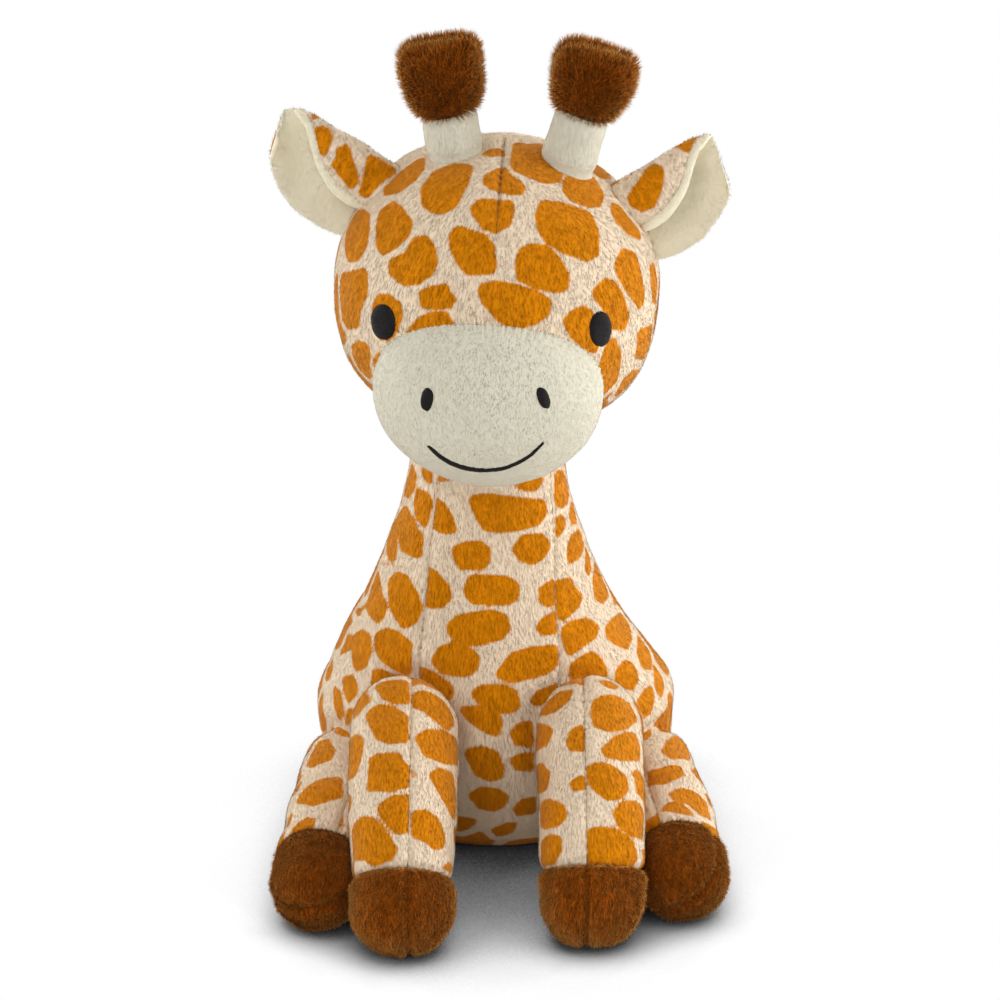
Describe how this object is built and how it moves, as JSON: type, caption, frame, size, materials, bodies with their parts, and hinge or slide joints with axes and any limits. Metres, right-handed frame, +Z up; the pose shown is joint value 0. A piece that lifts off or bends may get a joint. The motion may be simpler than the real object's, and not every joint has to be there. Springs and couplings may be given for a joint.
{
  "type": "plush giraffe",
  "caption": "Sitting plush giraffe with a round head, cream muzzle, embroidered face, soft ears and horns, and stuffed legs with brown hooves; a soft toy that rests on its seat",
  "frame": {"origin": "On the floor under the middle of the neck, on the flat seat that the giraffe rests on", "axes": "+Z up, the face looks along -Y, the giraffe's own left side is +X"},
  "size_m": [0.1669, 0.21, 0.3033],
  "materials": {
    "printed_plush": "short pile plush, printed with ochre patches on a pale ground",
    "cream_plush": "short pile plush, plain",
    "brown_plush": "short pile plush, plain",
    "dark_thread": "satin stitch embroidery",
    "polyester_fibre": "loose fibre filling",
    "liner_cloth": "thin woven liner filled with pellets"
  },
  "bodies": {
    "body": {"body_front_panel": "printed_plush", "body_left_panel": "printed_plush", "body_right_panel": "printed_plush", "seat_panel": "printed_plush", "body_stuffing": "polyester_fibre", "pellet_bag": "liner_cloth"},
    "head": {"head_left_panel": "printed_plush", "head_right_panel": "printed_plush", "head_back_panel": "printed_plush", "muzzle_panel": "cream_plush", "head_stuffing": "polyester_fibre", "mouth_line": "dark_thread", "right_eye": "dark_thread", "left_eye": "dark_thread", "right_nostril": "dark_thread", "left_nostril": "dark_thread"},
    "right_horn": {"right_horn_stalk": "cream_plush", "right_horn_tip": "brown_plush", "right_horn_stuffing": "polyester_fibre"},
    "right_ear": {"right_ear_outer": "printed_plush", "right_ear_inner": "cream_plush"},
    "left_horn": {"left_horn_stalk": "cream_plush", "left_horn_tip": "brown_plush", "left_horn_stuffing": "polyester_fibre"},
    "left_ear": {"left_ear_outer": "printed_plush", "left_ear_inner": "cream_plush"},
    "right_front_leg": {"right_front_leg_outer_side": "printed_plush", "right_front_leg_inner_side": "printed_plush", "right_front_hoof": "brown_plush", "right_front_leg_stuffing": "polyester_fibre"},
    "left_front_leg": {"left_front_leg_outer_side": "printed_plush", "left_front_leg_inner_side": "printed_plush", "left_front_hoof": "brown_plush", "left_front_leg_stuffing": "polyester_fibre"},
    "right_hind_leg": {"right_hind_leg_outer_side": "printed_plush", "right_hind_leg_inner_side": "printed_plush", "right_hind_hoof": "brown_plush", "right_hind_leg_stuffing": "polyester_fibre"},
    "left_hind_leg": {"left_hind_leg_outer_side": "printed_plush", "left_hind_leg_inner_side": "printed_plush", "left_hind_hoof": "brown_plush", "left_hind_leg_stuffing": "polyester_fibre"},
    "tail": {"tail": "printed_plush", "tail_tuft": "brown_plush"}
  },
  "joints": [
    {"name": "head_turn", "type": "hinge", "parent": "body", "child": "head", "pos_m": [0, 0, 0.16], "axis": [0, 0, 1], "range_deg": [-35, 35], "stiffness_Nm_per_rad": 0.05},
    {"name": "right_horn_bend", "type": "hinge", "parent": "head", "child": "right_horn", "pos_m": [-0.01586, -0.0092, 0.25862], "axis": [0.9893, -0.0428, 0.1392], "range_deg": [-12, 12], "stiffness_Nm_per_rad": 0.05},
    {"name": "left_horn_bend", "type": "hinge", "parent": "head", "child": "left_horn", "pos_m": [0.02457, -0.01097, 0.25497], "axis": [0.9694, -0.0428, -0.2419], "range_deg": [-12, 12], "stiffness_Nm_per_rad": 0.05},
    {"name": "right_ear_flap", "type": "hinge", "parent": "head", "child": "right_ear", "pos_m": [-0.04589, -0.00043, 0.24044], "axis": [-0.4223, 0.0163, -0.9063], "range_deg": [-25, 25], "stiffness_Nm_per_rad": 0.02},
    {"name": "left_ear_flap", "type": "hinge", "parent": "head", "child": "left_ear", "pos_m": [0.04889, -0.00457, 0.23548], "axis": [-0.4995, 0.0238, 0.866], "range_deg": [-25, 25], "stiffness_Nm_per_rad": 0.02},
    {"name": "right_front_leg_lift", "type": "hinge", "parent": "body", "child": "right_front_leg", "pos_m": [-0.0335, -0.051, 0.054], "axis": [-1, 0, 0], "range_deg": [0, 60]},
    {"name": "left_front_leg_lift", "type": "hinge", "parent": "body", "child": "left_front_leg", "pos_m": [0.0335, -0.051, 0.054], "axis": [-1, 0, 0], "range_deg": [0, 60]},
    {"name": "right_hind_leg_lift", "type": "hinge", "parent": "body", "child": "right_hind_leg", "pos_m": [-0.054, -0.026, 0.023], "axis": [-0.5, 0, -0.866], "range_deg": [0, 50]},
    {"name": "left_hind_leg_lift", "type": "hinge", "parent": "body", "child": "left_hind_leg", "pos_m": [0.054, -0.026, 0.023], "axis": [-0.5, 0, 0.866], "range_deg": [0, 50]},
    {"name": "tail_swing", "type": "hinge", "parent": "body", "child": "tail", "pos_m": [0, 0.0585, 0.057], "axis": [0, 1, 0], "range_deg": [-35, 35]}
  ]
}
